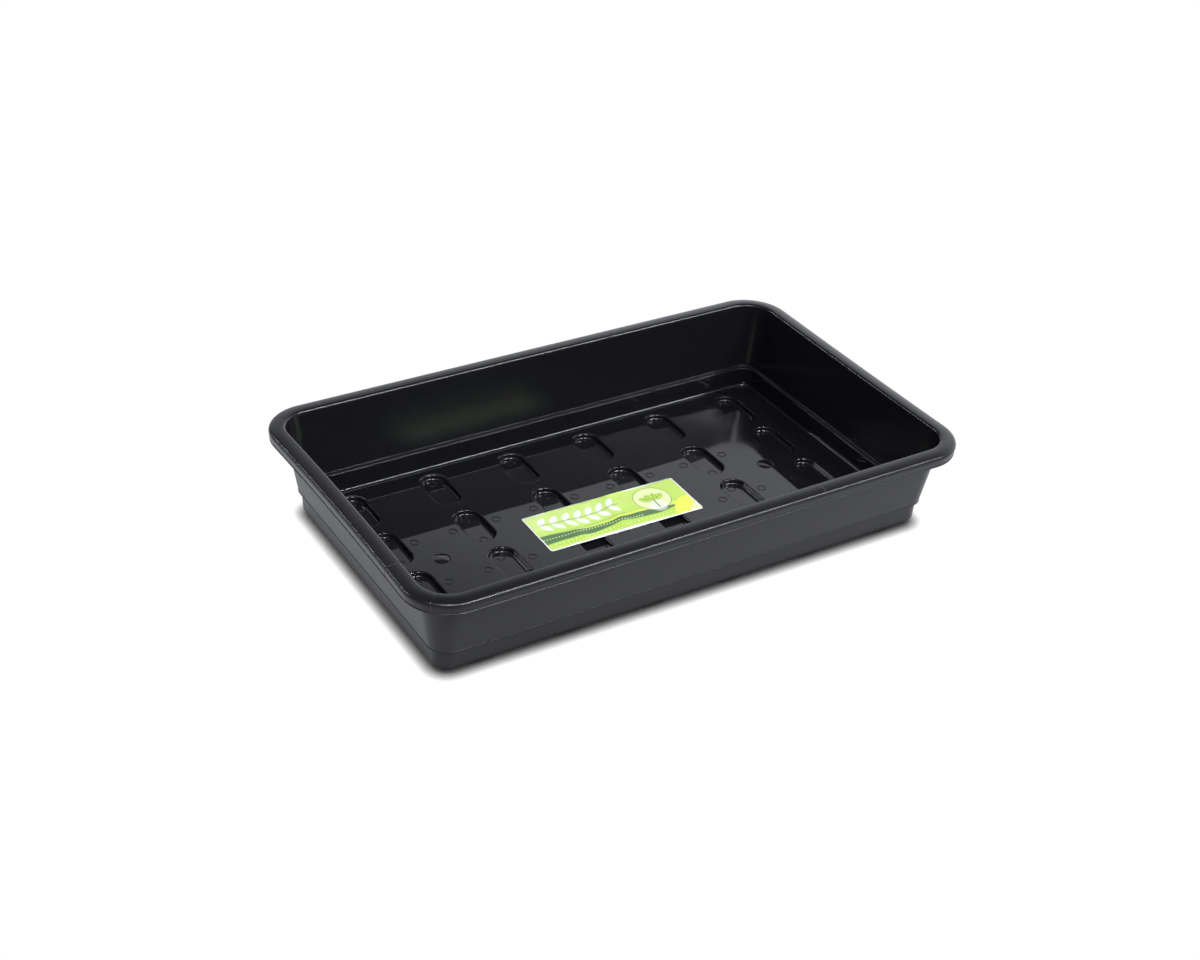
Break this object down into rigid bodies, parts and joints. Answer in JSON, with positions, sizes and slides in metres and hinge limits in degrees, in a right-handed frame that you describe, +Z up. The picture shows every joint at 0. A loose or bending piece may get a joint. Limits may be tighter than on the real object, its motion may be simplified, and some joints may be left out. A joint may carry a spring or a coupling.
{
  "type": "potting soil tray",
  "caption": "Shallow rectangular plastic tray with a turned-down rim, drafted walls with a ledge, and a floor that stands on moulded oblong feet; a printed label lies inside.",
  "frame": {"origin": "on the ground under the middle of the tray", "axes": "+X along the length, +Y along the width, +Z up through the open top"},
  "size_m": [0.562, 0.34, 0.0932],
  "materials": {
    "tray_plastic": "black polypropylene, polished inside and satin on the rim and outside",
    "label_film": "printed self-adhesive label in lime green with a white border"
  },
  "bodies": {
    "root": {"tray": "tray_plastic", "label": "label_film"}
  },
  "joints": []
}
